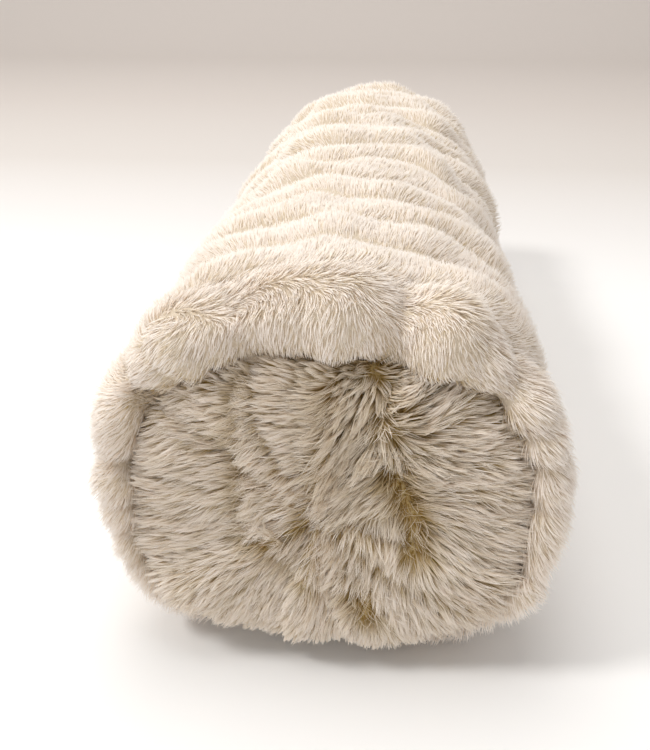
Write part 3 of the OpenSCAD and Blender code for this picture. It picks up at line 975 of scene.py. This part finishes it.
def stitches(path, pitch, fill, radius, rise):
    """A row of short stitches that rise out of the cloth and sink back, along a path with its normals."""
    points, normals = path
    run = np.concatenate([[0], np.cumsum(np.linalg.norm(np.diff(points, axis=0), axis=1))])
    parts = []
    for start in np.arange(0, run[-1] - pitch, pitch):
        at = start + np.linspace(0, 1, 6) * pitch * fill
        middle = np.column_stack([np.interp(at, run, points[:, k]) for k in range(3)])
        normal = np.column_stack([np.interp(at, run, normals[:, k]) for k in range(3)])
        bow = np.sin(np.linspace(0, math.pi, 6))[:, None]
        parts.append(tube_along(middle + normal * (bow * rise), radius * (0.55 + 0.45 * bow[:, 0])))
    return joined(parts)


def straight_row(across, out, low, high):
    """A straight path along the zip, with its normals."""
    along = np.linspace(low, high, 200)
    return at_zip(across, along, out), np.tile(OUT, (200, 1))


def ring_stitches(node, material, path):
    """Stitches all round the seam of an end panel."""
    ring = stitches(path, 3.2 * MM, 0.8, 0.38 * MM, 0.25 * MM)
    add_piece(node.replace("thread", "stitches"), node, *ring, material)


def insert_seam(node):
    """The round seam of an insert's end, and its outward directions."""
    low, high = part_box(node)
    turn = np.linspace(0, 2 * math.pi, 240)
    radial = np.stack([np.cos(turn), 0 * turn, np.sin(turn)], -1)
    centre = np.array([0, (low.y + high.y) / 2, (low.z + high.z) / 2])
    return centre + radial * ((high.x - low.x) / 2 - 0.45 * MM), radial


for side, half in ((-1, "upper"), (1, "lower")):
    zip_tape("zipper_tape_" + half, side)
    zip_coil("zipper_coil_" + half, side)
    beside_slot = side * (SLOT_HALF + 2 * MM)
    row = straight_row(beside_slot, TAPE_FACE + 0.15 * MM, TAPE_LOW + 2 * MM, TAPE_HIGH - 2 * MM)
    node = "zipper_stitching_" + half
    add_piece(node + "_stitches", node, *stitches(row, 2.6 * MM, 0.72, 0.22 * MM, 0.12 * MM), COVER_THREAD)
for end, row in (("front", FRONT_SEAM), ("rear", REAR_SEAM)):
    seam = np.stack([FORM[row], FORM_NORMALS[row]])
    ring_stitches(f"cover_{end}_seam_thread", COVER_THREAD, np.concatenate([seam, seam[:, :1]], 1))
    node = f"insert_{end}_seam_thread"
    ring_stitches(node, INSERT_THREAD, insert_seam(node))


def side_seam():
    """Stitches of the side seam, beyond both ends of the zip."""
    low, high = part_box("cover_side_seam_thread")
    out = reach("cover_side_seam_thread", OUT)[1] - 0.5 * MM
    parts = []
    for start, stop in ((low.y, -SLOT_END - 4 * MM), (SLOT_END + 4 * MM, high.y)):
        parts.append(stitches(straight_row(0, out, start, stop), 2.8 * MM, 0.75, 0.3 * MM, 0.1 * MM))
    add_piece("cover_side_seam_stitches", "cover_side_seam_thread", *joined(parts), COVER_THREAD)


side_seam()


def rounded_metal(node, body, width):
    """The CAD piece itself, with its sharp edges broken and smooth shading, in plated metal."""
    source = frame["nodes"][node]
    piece = bpy.data.objects.new(node + "_plated", source.data.copy())
    bpy.context.collection.objects.link(piece)
    piece.data.materials.clear()
    piece.data.materials.append(METAL)
    weld = piece.modifiers.new("weld", "WELD")
    weld.merge_threshold = 0.005 * MM
    bevel = piece.modifiers.new("edges", "BEVEL")
    bevel.width = width
    bevel.segments = 2
    bevel.limit_method = "ANGLE"
    bevel.angle_limit = math.radians(40)
    piece.data.polygons.foreach_set("use_smooth", np.ones(len(piece.data.polygons), bool))
    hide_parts(node)
    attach(piece, body)


rounded_metal("zipper_slider", "slider", 0.15 * MM)
rounded_metal("zipper_pull_tab", "pull_tab", 0.2 * MM)
rounded_metal("zipper_top_stops", "bolster", 0.3 * MM)
rounded_metal("zipper_bottom_stop", "bolster", 0.4 * MM)

# ---------- the insert


INSERT_COLUMNS = 160


def insert_form(radius, half, floor, seam_r, seed):
    """A stuffed tube with rounded ends, and gathers towards its seams, as a grid."""
    turn = round_turn(INSERT_COLUMNS)
    corner = radius - seam_r - 1 * MM
    bend = np.linspace(0, math.pi / 2, 8)
    profile = [(radius - corner + corner * math.sin(a), -half + corner - corner * math.cos(a)) for a in bend]
    profile = [(seam_r, -half)] + profile
    ends = profile[::-1]
    profile += [(radius, y) for y in np.linspace(-half + corner, half - corner, 110)[1:-1]]
    profile += [(r, -y) for r, y in ends]
    profile = np.array(profile)
    r, y = profile[:, :1], profile[:, 1:]
    inward = half - np.abs(y)
    crease = 0.9 * MM * (np.abs(np.sin(22 * turn)) - 1) * ease(inward, 60 * MM, 4 * MM)
    crease = crease + 0.5 * MM * (wander(turn, y, seed, 80 * MM) - 1)
    r = r + crease * ease(inward, 0, 6 * MM)
    points = round_axis(r, turn, y)
    points[..., 2] = np.maximum(points[..., 2], floor)
    return points


def insert_disc(y, radius, towards):
    """A flat round of ticking with gathers at its edge."""
    turn = round_turn(INSERT_COLUMNS)
    rings = np.linspace(0.02, 1, 24)[:, None]
    dent = 0.25 * MM * (np.abs(np.sin(20 * turn)) - 1) * ease(rings, 0.55, 0.97)
    r = rings * radius
    return round_axis(r, turn, y + towards * dent)


def add_insert():
    """The insert's tube, its two ends, and the fibre inside."""
    seam_r = reach("insert_front_ticking", (1, 0, 0))[1]
    tube = insert_form(INSERT_R, INSERT_HALF, INSERT_FLOOR, seam_r, 31)
    front = insert_disc(-INSERT_HALF + 0.2 * MM, seam_r, 1)
    rear = insert_disc(INSERT_HALF - 0.2 * MM, seam_r, -1)
    fill_r = reach("fibre_fill", (1, 0, 0))[1] - 1.2 * MM
    fill_half = reach("fibre_fill", (0, 1, 0))[1] - 1 * MM
    fill = insert_form(fill_r, fill_half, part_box("fibre_fill")[0].z + 0.6 * MM, seam_r - 3 * MM, 33)
    for name, node, grid, material, flip in (
            ("insert_tube_cloth", "insert_tube_ticking", tube, TICKING, True),
            ("insert_front_cloth", "insert_front_ticking", front, TICKING, True),
            ("insert_rear_cloth", "insert_rear_ticking", rear, TICKING, False),
            ("fibre_wadding", "fibre_fill", fill, FIBRE, True)):
        add_grid(name, node, grid, material, flip)


add_insert()


def closing_stitches():
    """Slanting hand stitches along the insert's closed opening."""
    low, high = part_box("insert_closing_stitches")
    out = reach("insert_closing_stitches", OUT)[0] + 0.15 * MM
    parts = []
    for along in np.arange(low.y + 1 * MM, high.y, 9 * MM):
        way = np.linspace(-1, 1, 7)
        path = at_zip(1.8 * MM * way, along + 0.9 * MM * way, out + 0.05 * MM * (1 - way**2))
        parts.append(tube_along(path, 0.13 * MM))
    add_piece("insert_hand_stitches", "insert_closing_stitches", *joined(parts), INSERT_THREAD)


closing_stitches()


def care_label():
    """A blank satin label, folded once and caught in the side seam."""
    low, high = reach("care_label", (0, 1, 0))
    inner, outer = reach("care_label", OUT)
    half = reach("care_label", ROUND)[1]
    thick = (outer - inner) / 2
    middle = (inner + outer) / 2
    run = np.linspace(0, 1, 25)
    leaf = high - low - thick
    path = [(high - leaf * t, middle - thick) for t in run]
    for angle in np.linspace(0.3, math.pi - 0.3, 8):
        path.append((low + thick - thick * math.sin(angle), middle - thick * math.cos(angle)))
    path += [(low + thick + leaf * t, middle + thick) for t in run]
    along, out = np.array(path).T
    across = np.linspace(-half, half, 15)
    grid = at_zip(across[None], along[:, None], out[:, None])
    label = add_grid("care_label_satin", "care_label", grid, SATIN, False, closed=False)


care_label()
